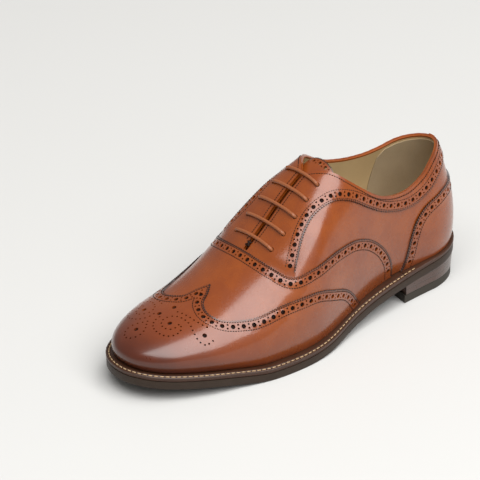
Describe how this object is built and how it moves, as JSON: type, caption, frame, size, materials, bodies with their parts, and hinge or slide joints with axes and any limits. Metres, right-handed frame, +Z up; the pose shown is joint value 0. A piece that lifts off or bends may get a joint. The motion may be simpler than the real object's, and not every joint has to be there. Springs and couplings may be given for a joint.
{
  "type": "brogue shoe",
  "caption": "Left wingtip brogue Oxford with a hollow leather upper, laced facings, welted sole and stacked heel.",
  "frame": {"origin": "middle of the heel's floor face", "axes": "+Z up, toe towards -Y, outer (lateral) side towards +X"},
  "size_m": [0.1098, 0.2875, 0.1153],
  "materials": {
    "quarter_leather": "polished tan calf",
    "panel_leather": "polished tan calf",
    "toe_leather": "burnished tan calf",
    "heel_leather": "burnished tan calf",
    "tongue_leather": "tan calf",
    "lining_leather": "matt natural leather",
    "welt_leather": "stained welt with light stitches",
    "sole_edge": "waxed dark edge",
    "heel_stack": "waxed stacked leather",
    "top_piece": "matt",
    "lace": "waxed round cord"
  },
  "bodies": {
    "root": {"upper": "quarter_leather", "vamp": "panel_leather", "wing_cap": "toe_leather", "facing_lateral": "panel_leather", "facing_medial": "panel_leather", "counter": "heel_leather", "back_strap": "heel_leather", "tongue": "tongue_leather", "insole": "lining_leather", "welt": "welt_leather", "heel_rand": "welt_leather", "outsole": "sole_edge", "heel_stack": "heel_stack", "top_piece": "top_piece", "lace_bar_1": "lace", "lace_bar_2": "lace", "lace_bar_3": "lace", "lace_bar_4": "lace", "lace_bar_5": "lace"}
  },
  "joints": []
}
